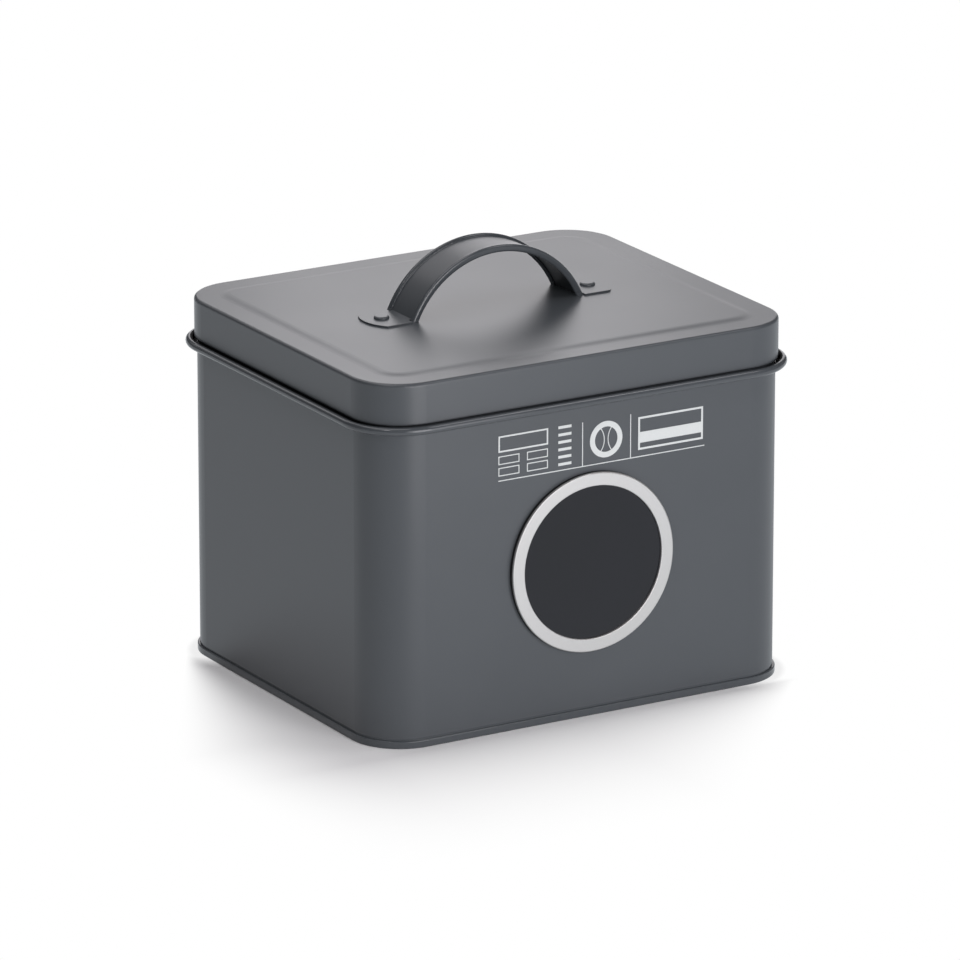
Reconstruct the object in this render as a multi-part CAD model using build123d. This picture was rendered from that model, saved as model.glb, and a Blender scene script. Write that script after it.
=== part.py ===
from build123d import *
import math
import os

# A laundry powder tin of painted sheet steel: a rounded box with a gutter-shaped rim, a slip-over lid with
# a riveted strap handle, and a round window under a printed control panel.
# +X runs to the right along the front, -Y points out of the front and +Z up, with the origin on the floor
# under the middle of the tin. All sizes are in millimetres and angles in degrees.

# Wall: one sheet folded round four upright corners
BODY_WIDTH = 220.0
BODY_DEPTH = 187.5
CORNER_RADIUS = 23.8
SHEET = 0.5
SEAM_GAP = 0.05

# Gutter rim: the wall's top edge, bent outward and curled up and over into an open bead
RIM_CREST = 152.8
RIM_REACH = 5.4
RIM_ROLL_RADIUS = 1.9
RIM_BEND_RADIUS = 1.25
RIM_LIP_ANGLE = 130.0

# Base: a pressed panel whose edge wraps the wall's foot in a seam
SEAM_HEIGHT = 3.5
SEAM_PROUD = 1.2
SEAM_ROUNDING = 0.5
BASE_HEIGHT = 3.0

# Collar: an upright band inside the mouth that carries the lid
COLLAR_BELOW_CREST = 23.5
COLLAR_HEM = 5.0
COLLAR_ROUNDING = 0.25

# Lid: a pressed tray with a raised panel, whose skirt is turned in at its foot and dips into the gutter
LID_DIP = 0.4
LID_PROUD = 1.25
LID_SKIRT = 19.9
LID_EDGE_RADIUS = 1.6
LID_FOOT_RADIUS = 1.2
LID_BORDER = 12.0
PANEL_RISE = 0.8
PANEL_STEP = 5.0
PANEL_LAND = 1.0

# Handle: a strap bent to an arch, with raised and rolled edges and a flat tab at each foot
HANDLE_RISE = 30.35
HANDLE_RADIUS = 49.9
HANDLE_SHEET = 0.8
STRAP_WIDTH = 24.4
STRAP_DISH = 1.3
STRAP_EDGE_DEPTH = 3.4
STRAP_BEAD_RADIUS = 1.2
STRAP_BEND_RADIUS = 1.0
STRAP_ROLL_RADIUS = 1.0
TAB_WIDTH = 26.5
TAB_STRAIGHT = 13.5
TAB_BULGE = 5.0
TAB_SLIT = 0.1

# Rivets
RIVET_HEAD_DIAMETER = 7.2
RIVET_HEAD_HEIGHT = 1.2
RIVET_HEAD_ROUNDING = 0.95
RIVET_SHANK_DIAMETER = 3.2
RIVET_TAIL_DIAMETER = 5.5
RIVET_TAIL_HEIGHT = 0.8
RIVET_FROM_FOOT = 9.2
RIVET_CLEARANCE = 0.05

# Window: a pane laid over the wall's hole, with a black gasket round it and a silver ring on top of both
WINDOW_RIGHT = 0.35
WINDOW_DIAMETER = 85.3
BEZEL_WIDTH = 6.25
WINDOW_BELOW_PRINT = 2.8
BEZEL_THICKNESS = 1.2
BEZEL_OUTER_ROUNDING = 0.6
BEZEL_INNER_ROUNDING = 0.4
GASKET_THICKNESS = 1.8
GASKET_INSET = 0.1
GASKET_WIDTH = 2.5
WALL_HOLE_MARGIN = 1.0
PANE_CLEARANCE = 0.1

# Print: a white film of lines and fields, measured from the left end of its base line
PRINT_FILM = 0.1
PRINT_BELOW_CREST = 33.3
PRINT_LEFT = -48.4
PRINT_WIDTH = 109.4
PRINT_LINE = 0.45
DISPLAY_WIDTH = 26.1
DISPLAY_HEIGHT = 7.7
DISPLAY_RISE = 13.6
DISPLAY_LINE = 0.75
KEY_WIDTH = 11.0
KEY_HEIGHT = 4.0
KEY_RISE = 2.4
KEY_PITCH_X = 15.0
KEY_PITCH_Z = 5.4
BAR_FROM_DISPLAY = 5.4
BAR_WIDTH = 6.9
BAR_HEIGHT = 1.3
BAR_RISE = 2.4
BAR_PITCH = 3.5
BAR_COUNT = 6
DIVIDER_FROM_BARS = 5.7
DIVIDER_HEIGHT = 21.1
DIVIDER_PITCH = 25.5
DIAL_DIAMETER = 17.2
DIAL_BAND = 2.6
DIAL_RISE = 11.3
DIAL_LINE = 0.4
DIAL_LINE_RADIUS = 9.0
DIAL_LINE_GAP = 1.6
DRAWER_FROM_DIVIDER = 4.3
DRAWER_WIDTH = 34.7
DRAWER_HEIGHT = 15.6
DRAWER_RISE = 3.4
DRAWER_LINE = 0.95
DRAWER_BAND_HEIGHT = 5.1
DRAWER_BAND_RISE = 3.3

# Places that follow from the sizes above
FRONT = Plane(origin=(0, -BODY_DEPTH / 2, 0), x_dir=(1, 0, 0), z_dir=(0, -1, 0))
LID_FOOT = RIM_CREST - LID_DIP
LID_TOP = LID_FOOT + LID_SKIRT
LID_UNDERSIDE = LID_TOP - SHEET
PANEL_TOP = LID_TOP + PANEL_RISE
COLLAR_OUT = -SHEET - SEAM_GAP
HANDLE_AXIS_HEIGHT = PANEL_TOP + HANDLE_RISE - HANDLE_RADIUS
HANDLE_FOOT = math.sqrt(HANDLE_RADIUS**2 - (PANEL_TOP - HANDLE_AXIS_HEIGHT) ** 2)
RIVET_X = HANDLE_FOOT + RIVET_FROM_FOOT
PRINT_BASE = RIM_CREST - PRINT_BELOW_CREST
WINDOW_HEIGHT = PRINT_BASE - WINDOW_BELOW_PRINT - WINDOW_DIAMETER / 2
WINDOW_SIGHT = WINDOW_DIAMETER - 2 * BEZEL_WIDTH


def sheet_section(path, thickness):
    """A sheet's section with rounded edges, from the middle line that the sheet follows."""
    outline = offset(Wire(path.edges()), thickness / 2, side=Side.BOTH)
    return make_face(outline.edges())


def carry_round(section):
    """Carries a section along the four walls and round the corners; its x is the distance out of the wall."""
    run_x = BODY_WIDTH / 2 - CORNER_RADIUS
    run_y = BODY_DEPTH / 2 - CORNER_RADIUS
    placed = Pos(X=CORNER_RADIUS) * (Plane.XZ * section)
    corner = revolve(placed, Axis.Z, 90)
    pieces = []
    for turn, along, across in ((0, run_y, run_x), (90, run_x, run_y), (180, run_y, run_x), (270, run_x, run_y)):
        wall = Pos(X=across) * extrude(placed, amount=along, both=True)
        bend = Pos(across, along, 0) * corner
        pieces += [Rot(Z=turn) * wall, Rot(Z=turn) * bend]
    return pieces[0].fuse(*pieces[1:])


def rounded_plate(out, bottom, thickness):
    """A flat plate whose edge lies at a distance out of the wall, with corners that follow the wall's."""
    outline = RectangleRounded(BODY_WIDTH + 2 * out, BODY_DEPTH + 2 * out, CORNER_RADIUS + out)
    return extrude(Pos(Z=bottom) * outline, amount=thickness)


def make_body_shell():
    """The wall, its gutter rim and the window's hole."""
    middle = -SHEET / 2
    roll = RIM_ROLL_RADIUS - SHEET / 2
    roll_out = RIM_REACH - RIM_ROLL_RADIUS
    roll_height = RIM_CREST - RIM_ROLL_RADIUS
    gutter_floor = roll_height - roll
    bend_height = gutter_floor - RIM_BEND_RADIUS
    bend_out = middle + RIM_BEND_RADIUS
    path = Line((middle, 2 * SHEET), (middle, bend_height))
    path += CenterArc((bend_out, bend_height), RIM_BEND_RADIUS, 180, -90)
    path += Line((bend_out, gutter_floor), (roll_out, gutter_floor))
    path += CenterArc((roll_out, roll_height), roll, -90, 90 + RIM_LIP_ANGLE)
    shell = carry_round(sheet_section(path, SHEET))
    hole = Pos(WINDOW_RIGHT, WINDOW_HEIGHT) * Circle(WINDOW_SIGHT / 2 + WALL_HOLE_MARGIN)
    return shell - extrude(FRONT * hole, amount=2 * SHEET, both=True)


def make_base_panel():
    """The base: a flat panel held up off the floor by the seam that wraps the wall's foot."""
    inner = -2 * SHEET - SEAM_GAP
    width = SEAM_PROUD - inner
    seam = Pos(inner, 0) * Rectangle(width, SEAM_HEIGHT, align=(Align.MIN, Align.MIN))
    seam = fillet(seam.vertices().sort_by(Axis.X)[2:], SEAM_ROUNDING)
    slot_width = SHEET + 2 * SEAM_GAP
    slot = Pos(-SHEET - SEAM_GAP, SHEET) * Rectangle(slot_width, SEAM_HEIGHT, align=(Align.MIN, Align.MIN))
    return carry_round(seam - slot) + rounded_plate(inner, BASE_HEIGHT, SHEET)


def make_neck_collar():
    """The band inside the mouth, hemmed at the top where the lid rests on it."""
    foot = RIM_CREST - COLLAR_BELOW_CREST
    height = LID_UNDERSIDE - foot
    band = Pos(COLLAR_OUT, foot) * Rectangle(SHEET, height, align=(Align.MAX, Align.MIN))
    hem = Pos(COLLAR_OUT, LID_UNDERSIDE) * Rectangle(2 * SHEET, COLLAR_HEM, align=(Align.MAX, Align.MAX))
    section = band + hem
    section = fillet(section.vertices().group_by(Axis.Y)[-1], COLLAR_ROUNDING)
    return carry_round(section)


def make_lid():
    """The lid: turned-in foot, skirt, rounded edge, flat border, and a raised panel with the rivets' holes."""
    skirt = LID_PROUD - SHEET / 2
    foot = LID_FOOT_RADIUS - SHEET / 2
    edge = LID_EDGE_RADIUS - SHEET / 2
    border = LID_TOP - SHEET / 2
    step_out = LID_PROUD - LID_BORDER
    step_turn = 2 * math.degrees(math.atan(PANEL_RISE / PANEL_STEP))
    step_radius = PANEL_STEP / 2 / math.sin(math.radians(step_turn))
    panel_out = step_out - PANEL_STEP
    panel = border + PANEL_RISE
    plate_out = panel_out - PANEL_LAND
    path = CenterArc((skirt - foot, LID_FOOT + LID_FOOT_RADIUS), foot, -90, 90)
    path += Line((skirt, LID_FOOT + LID_FOOT_RADIUS), (skirt, border - edge))
    path += CenterArc((skirt - edge, border - edge), edge, 0, 90)
    path += Line((skirt - edge, border), (step_out, border))
    path += CenterArc((step_out, border + step_radius), step_radius, -90, -step_turn)
    path += CenterArc((panel_out, panel - step_radius), step_radius, 90 - step_turn, step_turn)
    path += Line((panel_out, panel), (plate_out, panel))
    lid = carry_round(sheet_section(path, SHEET))
    lid += rounded_plate(plate_out, PANEL_TOP - SHEET, SHEET)
    return lid - rivet_holes(PANEL_TOP - SHEET)


def rivet_holes(bottom):
    """The two holes for the rivets' shanks, upwards from a height."""
    hole = Circle(RIVET_SHANK_DIAMETER / 2 + RIVET_CLEARANCE)
    spots = [Pos(side * RIVET_X, 0, bottom) * hole for side in (-1, 1)]
    return Part() + [extrude(spot, amount=2 * HANDLE_SHEET + SHEET, both=True) for spot in spots]


def make_handle():
    """The strap handle: a dished arch with beaded and rolled edges, cut off level with the lid, and its tabs."""
    half = HANDLE_SHEET / 2
    lip = STRAP_WIDTH / 2 - half
    bead = STRAP_BEAD_RADIUS - half
    roll = STRAP_ROLL_RADIUS - half
    floor = HANDLE_RADIUS - half - STRAP_DISH
    bead_height = HANDLE_RADIUS - STRAP_BEAD_RADIUS
    roll_height = HANDLE_RADIUS - STRAP_EDGE_DEPTH + STRAP_ROLL_RADIUS
    bends = STRAP_BEND_RADIUS + bead
    slope = math.degrees(math.acos(1 - STRAP_DISH / bends))
    floor_edge = lip - bead - bends * math.sin(math.radians(slope))
    path = Line((floor_edge, floor), (-floor_edge, floor))
    for side, start, turn in ((1, 0, 1), (-1, 180, -1)):
        path += CenterArc((side * floor_edge, floor + STRAP_BEND_RADIUS), STRAP_BEND_RADIUS, -90, turn * slope)
        path += CenterArc((side * (lip - bead), bead_height), bead, start, turn * (90 + slope))
        path += Line((side * lip, bead_height), (side * lip, roll_height))
        path += CenterArc((side * (lip - roll), roll_height), roll, start, -turn * 180)
    section = sheet_section(path, HANDLE_SHEET)
    for side in (-1, 1):
        roll_end = Pos(side * (lip - 2 * roll), roll_height)
        section -= roll_end * Rectangle(2 * roll, 1.2 * half, align=(Align.CENTER, Align.MIN))
    axis = Axis((0, 0, HANDLE_AXIS_HEIGHT), (0, 1, 0))
    strap = revolve(Pos(Z=HANDLE_AXIS_HEIGHT) * (Rot(Y=-90) * (Plane.YZ * section)), axis, 180)
    strap -= Pos(Z=PANEL_TOP) * Box(
        4 * HANDLE_RADIUS, 2 * STRAP_WIDTH, HANDLE_RADIUS, align=(Align.CENTER, Align.CENTER, Align.MAX)
    )
    side = TAB_WIDTH / 2
    tongue = floor_edge - half
    tongue_end = math.sqrt(floor**2 - (PANEL_TOP - HANDLE_AXIS_HEIGHT) ** 2)
    tab_start = HANDLE_FOOT + TAB_SLIT
    tab_end = HANDLE_FOOT + TAB_STRAIGHT
    outline = Polyline(
        (tab_end, -side),
        (tab_start, -side),
        (tab_start, -tongue),
        (tongue_end, -tongue),
        (tongue_end, tongue),
        (tab_start, tongue),
        (tab_start, side),
        (tab_end, side),
    )
    outline += ThreePointArc((tab_end, side), (tab_end + TAB_BULGE, 0), (tab_end, -side))
    tab = extrude(Pos(Z=PANEL_TOP) * make_face(outline.edges()), amount=HANDLE_SHEET)
    return strap + tab + Rot(Z=180) * tab - rivet_holes(PANEL_TOP)


def make_handle_rivets():
    """Two rivets: a low pan head on the tab, a shank through tab and lid, and an upset tail below."""
    head_foot = PANEL_TOP + HANDLE_SHEET
    head = RIVET_HEAD_DIAMETER / 2
    shank = RIVET_SHANK_DIAMETER / 2
    tail = RIVET_TAIL_DIAMETER / 2
    tail_top = PANEL_TOP - SHEET
    tail_foot = tail_top - RIVET_TAIL_HEIGHT
    crown = head_foot + RIVET_HEAD_HEIGHT
    flat = head - RIVET_HEAD_ROUNDING
    side_top = crown - RIVET_HEAD_ROUNDING
    outline = CenterArc((flat, side_top), RIVET_HEAD_ROUNDING, 0, 90)
    outline += Polyline(
        (head, side_top),
        (head, head_foot),
        (shank, head_foot),
        (shank, tail_top),
        (tail, tail_top),
        (tail, tail_foot),
        (0, tail_foot),
        (0, crown),
        (flat, crown),
    )
    rivet = revolve(Plane.XZ * make_face(outline.edges()), Axis.Z)
    return Compound(children=[Pos(X=side * RIVET_X) * rivet for side in (-1, 1)])


def window_disc(radius, hole_radius, offset_out, thickness):
    """A round plate or ring on the window's axis, from a distance out of the front face."""
    outline = Circle(radius)
    if hole_radius:
        outline -= Circle(hole_radius)
    return extrude(FRONT.offset(offset_out) * (Pos(WINDOW_RIGHT, WINDOW_HEIGHT) * outline), amount=thickness)


def make_window_bezel():
    """The silver ring, with its front edges rounded over."""
    ring = window_disc(WINDOW_DIAMETER / 2, WINDOW_SIGHT / 2, GASKET_THICKNESS, BEZEL_THICKNESS)
    inner, outer = ring.faces().sort_by(Axis.Y)[0].edges().sort_by(SortBy.LENGTH)
    ring = fillet(outer, BEZEL_OUTER_ROUNDING)
    inner = ring.faces().sort_by(Axis.Y)[0].edges().sort_by(SortBy.LENGTH)[0]
    return fillet(inner, BEZEL_INNER_ROUNDING)


def make_window_gasket():
    """The black ring between the bezel and the wall."""
    outer = WINDOW_DIAMETER / 2 - GASKET_INSET
    return window_disc(outer, outer - GASKET_WIDTH, 0, GASKET_THICKNESS)


def make_window_pane():
    """The pane, lying on the wall round its hole, inside the gasket and under the bezel."""
    radius = WINDOW_DIAMETER / 2 - GASKET_INSET - GASKET_WIDTH - PANE_CLEARANCE
    return window_disc(radius, 0, 0, GASKET_THICKNESS)


def frame_outline(left, bottom, width, height, line):
    """A printed rectangle's outline."""
    outer = Pos(left, bottom) * Rectangle(width, height, align=(Align.MIN, Align.MIN))
    inner = Pos(left + line, bottom + line) * Rectangle(
        width - 2 * line, height - 2 * line, align=(Align.MIN, Align.MIN)
    )
    return outer - inner


def field(left, bottom, width, height):
    """A printed solid rectangle."""
    return Pos(left, bottom) * Rectangle(width, height, align=(Align.MIN, Align.MIN))


def make_panel_print():
    """The print: display and keys, a column of bars, two dividers, a dial and a drawer on a base line."""
    shapes = [frame_outline(0, DISPLAY_RISE, DISPLAY_WIDTH, DISPLAY_HEIGHT, DISPLAY_LINE)]
    for column in (0, 1):
        for row in (0, 1):
            left = column * KEY_PITCH_X
            bottom = KEY_RISE + row * KEY_PITCH_Z
            shapes.append(frame_outline(left, bottom, KEY_WIDTH, KEY_HEIGHT, PRINT_LINE))
    bar_left = DISPLAY_WIDTH + BAR_FROM_DISPLAY
    for row in range(BAR_COUNT):
        shapes.append(field(bar_left, BAR_RISE + row * BAR_PITCH, BAR_WIDTH, BAR_HEIGHT))
    divider = bar_left + BAR_WIDTH + DIVIDER_FROM_BARS
    lines = field(0, 0, PRINT_WIDTH, PRINT_LINE)
    for number in (0, 1):
        lines += field(divider + number * DIVIDER_PITCH, 0, PRINT_LINE, DIVIDER_HEIGHT)
    shapes.append(lines)
    dial = Circle(DIAL_DIAMETER / 2)
    dial_hole = Circle(DIAL_DIAMETER / 2 - DIAL_BAND)
    curves = Sketch()
    for side in (-1, 1):
        middle = side * (DIAL_LINE_GAP / 2 + DIAL_LINE_RADIUS)
        hoop = Circle(DIAL_LINE_RADIUS) - Circle(DIAL_LINE_RADIUS - DIAL_LINE)
        curves += (Pos(X=middle) * hoop) & Circle(DIAL_DIAMETER / 2 - DIAL_BAND / 2)
    shapes.append(Pos(divider + DIVIDER_PITCH / 2, DIAL_RISE) * (dial - dial_hole + curves))
    drawer_left = divider + DIVIDER_PITCH + DRAWER_FROM_DIVIDER
    drawer = frame_outline(drawer_left, DRAWER_RISE, DRAWER_WIDTH, DRAWER_HEIGHT, DRAWER_LINE)
    drawer += field(drawer_left, DRAWER_RISE + DRAWER_BAND_RISE, DRAWER_WIDTH, DRAWER_BAND_HEIGHT)
    shapes.append(drawer)
    film = []
    for shape in shapes:
        film += extrude(FRONT * (Pos(PRINT_LEFT, PRINT_BASE) * shape), amount=PRINT_FILM).solids()
    return Compound(children=film)


PIECES = {
    "body_shell": make_body_shell,
    "base_panel": make_base_panel,
    "neck_collar": make_neck_collar,
    "window_gasket": make_window_gasket,
    "window_bezel": make_window_bezel,
    "window_pane": make_window_pane,
    "panel_print": make_panel_print,
    "lid": make_lid,
    "handle": make_handle,
    "handle_rivets": make_handle_rivets,
}

os.makedirs("parts", exist_ok=True)
for name, make in PIECES.items():
    export_step(make(), f"parts/{name}.step")
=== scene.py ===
import math

import bmesh
import bpy
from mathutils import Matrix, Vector


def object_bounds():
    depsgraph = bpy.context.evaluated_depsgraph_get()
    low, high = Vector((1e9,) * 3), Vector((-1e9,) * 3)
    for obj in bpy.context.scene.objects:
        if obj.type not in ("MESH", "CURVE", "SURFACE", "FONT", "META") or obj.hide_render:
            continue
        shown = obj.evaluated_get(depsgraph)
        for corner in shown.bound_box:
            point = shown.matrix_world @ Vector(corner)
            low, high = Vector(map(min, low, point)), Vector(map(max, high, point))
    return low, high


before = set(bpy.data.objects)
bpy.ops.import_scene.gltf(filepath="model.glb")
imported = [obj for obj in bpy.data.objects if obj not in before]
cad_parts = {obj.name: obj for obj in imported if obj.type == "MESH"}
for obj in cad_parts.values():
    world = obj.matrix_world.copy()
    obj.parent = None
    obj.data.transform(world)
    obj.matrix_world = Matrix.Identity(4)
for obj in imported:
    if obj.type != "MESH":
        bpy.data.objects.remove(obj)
cad_low, cad_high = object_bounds()

# Wall of the tin: one cold-rolled steel sheet folded round four upright corners, its top edge bent out and
# curled over into an open bead. It is sprayed with a satin anthracite lacquer and stoved, inside and out.
PAINT_DARK = "#494d51"
PAINT_LIGHT = "#4f5357"
PAINT_CLOUD_MM = 60.0
PAINT_CLOUD_DETAIL = 3.0
PAINT_PEEL_MM = 1.6
PAINT_PEEL_DETAIL = 1.0
PAINT_PEEL_DEPTH_MM = 0.004
PAINT_ROUGHNESS = (0.3, 0.36)
PAINT_IOR = 1.5
# Where beads are rubbed smooth, in metres: to just above the base's seam, over the height of the rim, and on
# the strap above its feet, further out than the dished face.
RUBBED_ROUGHNESS = 0.15
RUBBED_RIPPLE = 0.15
SEAM_TOP = 0.0045
RIM_MIDDLE = 0.15085
RIM_HALF = 0.00215
STRAP_FOOT = 0.1745
STRAP_BEAD = 0.0088
# Inside the rim's gutter: the upright wall's half sizes and corner radius, how far out of the wall and how
# high the gutter lies, in metres, its painted shade, nearly black, and its dull finish.
WALL_HALF = (0.110, 0.09375)
WALL_CORNER = 0.0238
GUTTER_OUT = 0.0015
GUTTER_OUT_HALF = 0.0018
GUTTER_MIDDLE = 0.15115
GUTTER_HALF = 0.00185
GUTTER_PAINTED_SHADE = "#141516"
GUTTER_ROUGHNESS = 1.0
# The lid's step, in metres, and how far the lacquer that pools in it levels it out.
STEP_MIDDLE = 0.1727
STEP_HALF = 0.00038
STEP_FILLED = 0.6
STRAIGHT_UP = (0.0, 0.0, 1.0)
# A height in metres that nothing on the tin reaches.
ABOVE_ALL = 1.0


def linear(code):
    """A colour written as sRGB hex, as the linear values that the shaders take."""
    parts = [int(code[i:i + 2], 16) / 255 for i in (1, 3, 5)]
    return [p / 12.92 if p <= 0.04045 else ((p + 0.055) / 1.055) ** 2.4 for p in parts] + [1.0]


def add_node(tree, kind, inputs=None, **settings):
    """A node with its settings. Each input takes a value, an output, or a node's first output."""
    node = tree.nodes.new(kind)
    for name, value in settings.items():
        setattr(node, name, value)
    for socket, value in (inputs or {}).items():
        if isinstance(value, bpy.types.Node):
            value = next(output for output in value.outputs if output.enabled)
        if isinstance(value, bpy.types.NodeSocket):
            tree.links.new(value, node.inputs[socket])
        else:
            node.inputs[socket].default_value = value
    return node


def new_material(name):
    """An empty node material, its tree, and the Object coordinates that its patterns lie on."""
    material = bpy.data.materials.new(name)
    material.use_nodes = True
    tree = material.node_tree
    tree.nodes.clear()
    return material, tree, add_node(tree, "ShaderNodeTexCoord").outputs["Object"]


def per_metre(millimetres):
    """The texture scale whose features are about this far apart."""
    return 1000.0 / millimetres


def corner_distance(tree, place, half_width, half_depth, corner):
    """How far a point is from the rectangle that joins a rounded box's corner centres, at any height."""
    inner = (half_width - corner, half_depth - corner, ABOVE_ALL)
    spread = add_node(tree, "ShaderNodeVectorMath", {0: place}, operation="ABSOLUTE")
    beyond = add_node(tree, "ShaderNodeVectorMath", {0: spread, 1: inner}, operation="SUBTRACT")
    outside = add_node(tree, "ShaderNodeVectorMath", {0: beyond, 1: (0.0, 0.0, 0.0)}, operation="MAXIMUM")
    return add_node(tree, "ShaderNodeVectorMath", {0: outside}, operation="LENGTH")


def dress(node, material):
    """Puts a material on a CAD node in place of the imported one."""
    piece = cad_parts[node]
    piece.data.materials.clear()
    piece.data.materials.append(material)


# Stoved lacquer: an even dark grey with a soft sheen, a faint cloudiness from spraying, and the fine ripple
# of orange peel, drawn at about its real size and barely deep enough to soften the reflections. Handling has
# rubbed the beads smoother, and lacquer that pooled in the lid's step softens its edges. The gutter inside
# the rim is dull, and its colour there is painted shade, nearly black.
satin_lacquer, tree, place = new_material("satin_anthracite_lacquer")
along = add_node(tree, "ShaderNodeSeparateXYZ", {"Vector": place}).outputs
height = along["Z"]
cloud = add_node(
    tree,
    "ShaderNodeTexNoise",
    {"Vector": place, "Scale": per_metre(PAINT_CLOUD_MM), "Detail": PAINT_CLOUD_DETAIL},
)
tint = add_node(
    tree,
    "ShaderNodeMix",
    {"Factor": cloud, "A": linear(PAINT_DARK), "B": linear(PAINT_LIGHT)},
    data_type="RGBA",
)
sheen = add_node(
    tree,
    "ShaderNodeMapRange",
    {"Value": cloud, "To Min": PAINT_ROUGHNESS[0], "To Max": PAINT_ROUGHNESS[1]},
)

# The beads, rubbed smooth
seam = add_node(tree, "ShaderNodeMath", {0: height, 1: SEAM_TOP}, operation="LESS_THAN")
rim = add_node(tree, "ShaderNodeMath", {0: height, 1: RIM_MIDDLE, 2: RIM_HALF}, operation="COMPARE")
side = add_node(tree, "ShaderNodeMath", {0: along["Y"]}, operation="ABSOLUTE")
bead = add_node(tree, "ShaderNodeMath", {0: side, 1: STRAP_BEAD}, operation="GREATER_THAN")
strap = add_node(tree, "ShaderNodeMath", {0: height, 1: STRAP_FOOT}, operation="GREATER_THAN")
edge = add_node(tree, "ShaderNodeMath", {0: bead, 1: strap}, operation="MULTIPLY")
folds = add_node(tree, "ShaderNodeMath", {0: seam, 1: rim}, operation="MAXIMUM")
rubbed = add_node(tree, "ShaderNodeMath", {0: folds, 1: edge}, operation="MAXIMUM")
gloss = add_node(tree, "ShaderNodeMix", {"Factor": rubbed, "A": sheen, "B": RUBBED_ROUGHNESS})

# The gutter, dull, with painted shade in its colour
distance = corner_distance(tree, place, WALL_HALF[0], WALL_HALF[1], WALL_CORNER)
within = add_node(
    tree,
    "ShaderNodeMath",
    {0: distance, 1: WALL_CORNER + GUTTER_OUT, 2: GUTTER_OUT_HALF},
    operation="COMPARE",
)
level = add_node(
    tree, "ShaderNodeMath", {0: height, 1: GUTTER_MIDDLE, 2: GUTTER_HALF}, operation="COMPARE"
)
gutter = add_node(tree, "ShaderNodeMath", {0: within, 1: level}, operation="MULTIPLY")
finish = add_node(tree, "ShaderNodeMix", {"Factor": gutter, "A": gloss, "B": GUTTER_ROUGHNESS})
colour = add_node(
    tree,
    "ShaderNodeMix",
    {"Factor": gutter, "A": tint, "B": linear(GUTTER_PAINTED_SHADE)},
    data_type="RGBA",
)

# The lid's step, levelled by the lacquer on its upper side
in_step = add_node(
    tree, "ShaderNodeMath", {0: height, 1: STEP_MIDDLE, 2: STEP_HALF}, operation="COMPARE"
)
facing = add_node(tree, "ShaderNodeNewGeometry").outputs["Normal"]
upward = add_node(tree, "ShaderNodeSeparateXYZ", {"Vector": facing}).outputs["Z"]
on_top = add_node(tree, "ShaderNodeMath", {0: upward, 1: 0.0}, operation="GREATER_THAN")
pooled = add_node(tree, "ShaderNodeMath", {0: in_step, 1: on_top}, operation="MULTIPLY")
filled = add_node(tree, "ShaderNodeMath", {0: pooled, 1: STEP_FILLED}, operation="MULTIPLY")
flatter = add_node(
    tree, "ShaderNodeMix", {"Factor": filled, "A": facing, "B": STRAIGHT_UP}, data_type="VECTOR"
)
softened = add_node(tree, "ShaderNodeVectorMath", {0: flatter}, operation="NORMALIZE")

# The orange peel, flatter on the rubbed beads
peel = add_node(
    tree,
    "ShaderNodeTexNoise",
    {"Vector": place, "Scale": per_metre(PAINT_PEEL_MM), "Detail": PAINT_PEEL_DETAIL},
)
depth = add_node(tree, "ShaderNodeMapRange", {"Value": rubbed, "To Min": 1.0, "To Max": RUBBED_RIPPLE})
ripple = add_node(
    tree,
    "ShaderNodeBump",
    {"Height": peel, "Distance": PAINT_PEEL_DEPTH_MM / 1000, "Strength": depth, "Normal": softened},
)
lacquer = add_node(
    tree,
    "ShaderNodeBsdfPrincipled",
    {"Base Color": colour, "Roughness": finish, "IOR": PAINT_IOR, "Normal": ripple},
)
add_node(tree, "ShaderNodeOutputMaterial", {"Surface": lacquer})
dress("body_shell", satin_lacquer)

# Base: a pressed steel panel, held a little off the floor by its edge, which is folded round the wall's foot
# in a seam. It carries the wall's lacquer.
dress("base_panel", satin_lacquer)

# Collar: an upright band of the same sheet, hemmed at the top and spot-welded inside the mouth. The lid
# slips over it and rests on the hem.
dress("neck_collar", satin_lacquer)

# Gasket: a die-cut ring of black foam, stuck to the wall under the silver ring. It holds the ring off the
# wall, and its edge shows as a thin black line.
FOAM_BLACK = "#0c0c0d"
FOAM_GREY = "#161617"
FOAM_CELL_MM = 0.4
FOAM_ROUGHNESS = 0.95

# Closed-cell foam: matt black, with small cells that break up what little light it gives back.
black_foam, tree, place = new_material("black_closed_cell_foam")
cells = add_node(tree, "ShaderNodeTexVoronoi", {"Vector": place, "Scale": per_metre(FOAM_CELL_MM)})
tint = add_node(
    tree,
    "ShaderNodeMix",
    {"Factor": cells, "A": linear(FOAM_BLACK), "B": linear(FOAM_GREY)},
    data_type="RGBA",
)
foam = add_node(tree, "ShaderNodeBsdfPrincipled", {"Base Color": tint, "Roughness": FOAM_ROUGHNESS})
add_node(tree, "ShaderNodeOutputMaterial", {"Surface": foam})
dress("window_gasket", black_foam)

# Bezel: a flat ring turned from thin aluminium and matt anodised, stuck on over the gasket and the edge of
# the pane.
SILVER_LIGHT = "#cfcecc"
SILVER_DARK = "#c5c4c3"
SILVER_GRIT_MM = 0.5
SILVER_ROUGHNESS = (0.5, 0.6)

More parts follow.
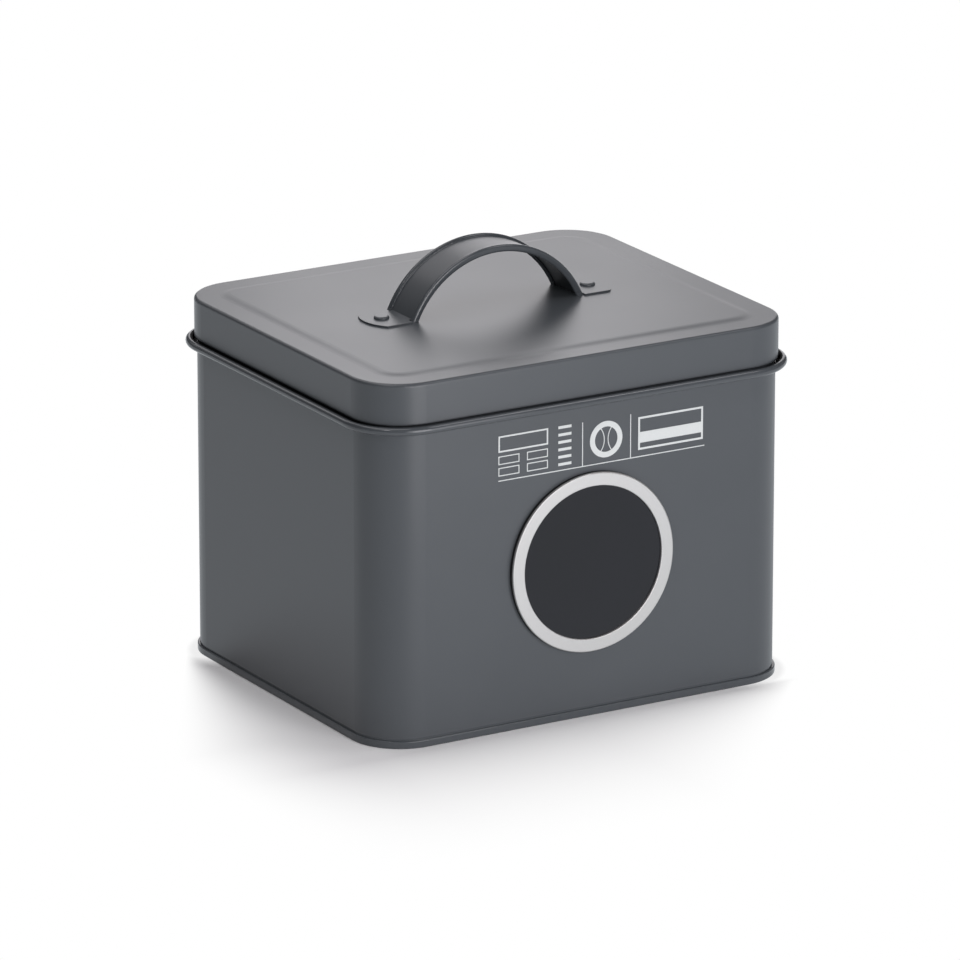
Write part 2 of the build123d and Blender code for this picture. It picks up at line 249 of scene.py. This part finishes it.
# Matt anodised aluminium: an even pale silver that catches the light along its rounded edges. Its blasted
# grit is drawn coarser than it is, so that it shows.
matt_silver, tree, place = new_material("matt_anodised_aluminium")
grit = add_node(tree, "ShaderNodeTexNoise", {"Vector": place, "Scale": per_metre(SILVER_GRIT_MM)})
tint = add_node(
    tree,
    "ShaderNodeMix",
    {"Factor": grit, "A": linear(SILVER_DARK), "B": linear(SILVER_LIGHT)},
    data_type="RGBA",
)
blast = add_node(
    tree,
    "ShaderNodeMapRange",
    {"Value": grit, "To Min": SILVER_ROUGHNESS[0], "To Max": SILVER_ROUGHNESS[1]},
)
silver = add_node(
    tree, "ShaderNodeBsdfPrincipled", {"Base Color": tint, "Metallic": 1.0, "Roughness": blast}
)
add_node(tree, "ShaderNodeOutputMaterial", {"Surface": silver})
dress("window_bezel", matt_silver)

# Pane: a round plate of smoked acrylic that closes the wall's hole. It lies on the wall inside the gasket,
# and the ring holds its edge.
SMOKE = "#08080f"
SMOKE_CLEAR = "#0e0e17"
SMOKE_CLOUD_MM = 40.0
ACRYLIC_ROUGHNESS = (0.1, 0.16)
ACRYLIC_IOR = 1.49

# Smoked acrylic: nearly black in the tin's dark inside, with a clear polished skin.
smoked_acrylic, tree, place = new_material("smoked_acrylic")
cloud = add_node(tree, "ShaderNodeTexNoise", {"Vector": place, "Scale": per_metre(SMOKE_CLOUD_MM)})
tint = add_node(
    tree,
    "ShaderNodeMix",
    {"Factor": cloud, "A": linear(SMOKE), "B": linear(SMOKE_CLEAR)},
    data_type="RGBA",
)
skin = add_node(
    tree,
    "ShaderNodeMapRange",
    {"Value": cloud, "To Min": ACRYLIC_ROUGHNESS[0], "To Max": ACRYLIC_ROUGHNESS[1]},
)
acrylic = add_node(
    tree, "ShaderNodeBsdfPrincipled", {"Base Color": tint, "Roughness": skin, "IOR": ACRYLIC_IOR}
)
add_node(tree, "ShaderNodeOutputMaterial", {"Surface": acrylic})
dress("window_pane", smoked_acrylic)

# Print: a thin film of white ink, screened on to the lacquered front above the window as plain lines and
# fields.
INK_WHITE = "#dadedd"
INK_THIN = "#d0d5d5"
INK_GRAIN_MM = 0.6
INK_ROUGHNESS = 0.6

# Screen ink: an even matt white that is a touch thinner in small spots, drawn coarse enough to show.
white_ink, tree, place = new_material("white_screen_ink")
grain = add_node(tree, "ShaderNodeTexNoise", {"Vector": place, "Scale": per_metre(INK_GRAIN_MM)})
tint = add_node(
    tree,
    "ShaderNodeMix",
    {"Factor": grain, "A": linear(INK_THIN), "B": linear(INK_WHITE)},
    data_type="RGBA",
)
ink = add_node(tree, "ShaderNodeBsdfPrincipled", {"Base Color": tint, "Roughness": INK_ROUGHNESS})
add_node(tree, "ShaderNodeOutputMaterial", {"Surface": ink})
dress("panel_print", white_ink)

# Lid: a pressed tray with a raised top. The foot of its skirt is turned in, and the skirt slips over the
# collar. It carries the wall's lacquer.
dress("lid", satin_lacquer)

# Handle: a steel strap with a dished face and beaded, rolled-under edges, bent to an arch between two flat
# tabs and lacquered with the lid.
dress("handle", satin_lacquer)

# Rivets: two low pan-headed steel rivets, set through the handle's tabs and the lid, closed underneath and
# lacquered over.
dress("handle_rivets", satin_lacquer)

# Floor: a wide sheet of white paper. Near the tin it is matt paper lit by the lamps, darker in the tin's
# shadow; the reach of that patch, mostly before the front and the left side, and its fade to plain white
# further out are a painted shadow.
FLOOR_SIZE = 60.0
FLOOR_WHITE = "#f2f2f2"
# What the eye sees of the paper outside the shadow, and what the gloss mirrors of it, a touch cooler.
PLAIN_WHITE = "#ffffff"
MIRRORED_WHITE = "#e9eef3"
# For the front and the left side: the axis that leads out from it, the fade's curve, how fast its width
# shrinks along the side, and then two pairs, for what the gloss mirrors and for what is seen: the width over
# which the shadow fades to white, and where along the side that runs out.
SHADOW_SIDES = (
    ("Y", 0.38, 1.2, (0.140, 0.140), (0.115, 0.108)),
    ("X", 1.0, 0.6, (0.100, 0.080), (0.300, 0.080)),
)
LEAST_WIDTH = 0.001
# The shadow ends, a little softly, at a line just inside the tin's right front and left back corners. All
# round the foot there is only a faint line of contact.
SHADOW_BACK = (-0.618, -0.786, 0.0)
SHADOW_BACK_PLACE = (0.008, 0.03)
FOOT_CORNER = 0.035
CONTACT_WIDTH = 0.004
CONTACT_SHARE = 0.25

# White paper: matt and lit by the lamps inside the painted shadow's reach, and a plain even white around
# it, also in what the gloss mirrors.
paper, tree, place = new_material("white_paper_floor")
along = add_node(tree, "ShaderNodeSeparateXYZ", {"Vector": place}).outputs
path = add_node(tree, "ShaderNodeLightPath").outputs
by_eye = path["Is Camera Ray"]
across = add_node(tree, "ShaderNodeVectorMath", {0: place, 1: SHADOW_BACK}, operation="DOT_PRODUCT")
shade = add_node(
    tree,
    "ShaderNodeMapRange",
    {"Value": across, "From Min": SHADOW_BACK_PLACE[0], "From Max": SHADOW_BACK_PLACE[1]},
    interpolation_type="SMOOTHSTEP",
)
for axis, curve, slope, widths, run_outs in SHADOW_SIDES:
    edge = cad_high.x if axis == "X" else cad_high.y
    other = along["Y" if axis == "X" else "X"]
    out = add_node(tree, "ShaderNodeMath", {0: along[axis], 1: -1.0, 2: -edge}, operation="MULTIPLY_ADD")
    widest = add_node(
        tree, "ShaderNodeMapRange", {"Value": by_eye, "To Min": widths[0], "To Max": widths[1]}
    )
    run_out = add_node(
        tree, "ShaderNodeMapRange", {"Value": by_eye, "To Min": run_outs[0], "To Max": run_outs[1]}
    )
    left_over = add_node(tree, "ShaderNodeMath", {0: run_out, 1: other}, operation="SUBTRACT")
    shrunk = add_node(tree, "ShaderNodeMath", {0: left_over, 1: slope}, operation="MULTIPLY")
    narrower = add_node(tree, "ShaderNodeMath", {0: shrunk, 1: widest}, operation="MINIMUM")
    width = add_node(tree, "ShaderNodeMath", {0: narrower, 1: LEAST_WIDTH}, operation="MAXIMUM")
    share = add_node(
        tree, "ShaderNodeMapRange", {"Value": out, "From Max": width}, interpolation_type="SMOOTHSTEP"
    )
    fade = add_node(tree, "ShaderNodeMath", {0: share, 1: curve}, operation="POWER")
    kept = add_node(tree, "ShaderNodeMath", {0: 1.0, 1: fade}, operation="SUBTRACT")
    shade = add_node(tree, "ShaderNodeMath", {0: kept, 1: shade}, operation="MULTIPLY")
distance = corner_distance(tree, place, cad_high.x, cad_high.y, FOOT_CORNER)
contact = add_node(
    tree,
    "ShaderNodeMapRange",
    {
        "Value": distance,
        "From Min": FOOT_CORNER,
        "From Max": FOOT_CORNER + CONTACT_WIDTH,
        "To Min": CONTACT_SHARE,
        "To Max": 0.0,
    },
    interpolation_type="SMOOTHSTEP",
)
dark = add_node(tree, "ShaderNodeMath", {0: shade, 1: contact}, operation="MAXIMUM")
away = add_node(tree, "ShaderNodeMath", {0: 1.0, 1: dark}, operation="SUBTRACT")
mirrored = add_node(
    tree,
    "ShaderNodeMath",
    {0: path["Is Glossy Ray"], 1: path["Is Transmission Ray"]},
    operation="MAXIMUM",
)
shown = add_node(tree, "ShaderNodeMath", {0: by_eye, 1: mirrored}, operation="MAXIMUM")
glow = add_node(tree, "ShaderNodeMath", {0: shown, 1: away}, operation="MULTIPLY")
sheet = add_node(tree, "ShaderNodeBsdfDiffuse", {"Color": linear(FLOOR_WHITE)})
white = add_node(
    tree,
    "ShaderNodeMix",
    {"Factor": by_eye, "A": linear(MIRRORED_WHITE), "B": linear(PLAIN_WHITE)},
    data_type="RGBA",
)
bright = add_node(tree, "ShaderNodeEmission", {"Color": white, "Strength": 1.0})
laid = add_node(tree, "ShaderNodeMixShader", {"Fac": glow, 1: sheet, 2: bright})
add_node(tree, "ShaderNodeOutputMaterial", {"Surface": laid})

shape = bmesh.new()
bmesh.ops.create_grid(shape, x_segments=1, y_segments=1, size=FLOOR_SIZE / 2)
mesh = bpy.data.meshes.new("floor")
shape.to_mesh(mesh)
shape.free()
floor = bpy.data.objects.new("floor", mesh)
floor.data.materials.append(paper)
bpy.context.scene.collection.objects.link(floor)

# Room: a dim, even grey studio, which lets a little light in from every side and keeps what the lamps don't
# reach from going black.
ROOM_LEVEL = 0.1

world = bpy.data.worlds.new("dim_studio")
world.use_nodes = True
tree = world.node_tree
tree.nodes.clear()
room = add_node(tree, "ShaderNodeBackground", {"Strength": ROOM_LEVEL})
add_node(tree, "ShaderNodeOutputWorld", {"Surface": room})
bpy.context.scene.world = world

# Soft lights: those behind are what the lid's top and the strap mirror, those above draw thin lines along
# the beads, and two low ones in front light the face with the window. All are close to white.
LAMP_TARGET = (0.0, 0.0, 0.09)
LAMP_WHITE = (0.98, 0.96, 0.985)


def softbox(name, place, size, radiance):
    """A square soft light, as bright by area as its radiance says, aimed at the tin and not seen itself."""
    light = bpy.data.lights.new(name, "AREA")
    light.shape = "SQUARE"
    light.size = size
    light.energy = radiance * math.pi * size**2
    light.color = LAMP_WHITE
    lamp = bpy.data.objects.new(name, light)
    lamp.location = place
    lamp.rotation_mode = "QUATERNION"
    lamp.rotation_quaternion = (Vector(LAMP_TARGET) - Vector(place)).to_track_quat("-Z", "Y")
    lamp.visible_camera = False
    bpy.context.scene.collection.objects.link(lamp)


softbox("back_right_softbox", (0.85, 1.3, 0.5), 1.0, 1.22)
softbox("near_back_softbox", (0.235, 0.42, 0.40), 0.22, 1.0)
softbox("back_left_softbox", (-0.35, 0.9, 0.62), 0.4, 0.3)
softbox("back_top_softbox", (0.0, 0.9, 1.1), 0.8, 1.3)
softbox("overhead_softbox", (-0.25, 0.1, 1.2), 0.8, 2.0)
softbox("near_front_softbox", (0.035, -0.55, 0.18), 0.34, 2.6)
softbox("front_softbox", (0.0, -1.0, 0.33), 0.62, 2.6)
softbox("left_top_softbox", (-0.7, -0.45, 1.0), 0.2, 8.0)
softbox("right_top_softbox", (0.5, -0.35, 1.0), 0.3, 4.0)

# Camera: a long lens a few metres off, at the photograph's angle. Its aim is a little off the tin's middle,
# so that the tin lies in the frame as it does there.
CAMERA_AZIMUTH = -30.524
CAMERA_ELEVATION = 17.351
CAMERA_DISTANCE = 3.8918
CAMERA_LENS_MM = 314.21
CAMERA_SENSOR_MM = 36.0
CAMERA_FAR_END = 100.0
AIM_HEIGHT = 0.08
AIM_RIGHT = -0.00236
AIM_UP = 0.0071

azimuth = math.radians(CAMERA_AZIMUTH)
elevation = math.radians(CAMERA_ELEVATION)
back = Vector(
    (
        math.sin(azimuth) * math.cos(elevation),
        -math.cos(azimuth) * math.cos(elevation),
        math.sin(elevation),
    )
)
right = Vector((math.cos(azimuth), math.sin(azimuth), 0.0))
up = back.cross(right)
aim = Vector((0.0, 0.0, AIM_HEIGHT)) + AIM_RIGHT * right + AIM_UP * up
lens = bpy.data.cameras.new("camera")
lens.lens = CAMERA_LENS_MM
lens.sensor_width = CAMERA_SENSOR_MM
lens.clip_end = CAMERA_FAR_END
camera = bpy.data.objects.new("camera", lens)
camera.rotation_mode = "QUATERNION"
camera.location = aim + CAMERA_DISTANCE * back
camera.rotation_quaternion = (-back).to_track_quat("-Z", "Y")
bpy.context.scene.collection.objects.link(camera)
bpy.context.scene.camera = camera
bpy.context.scene.view_settings.view_transform = "Standard"
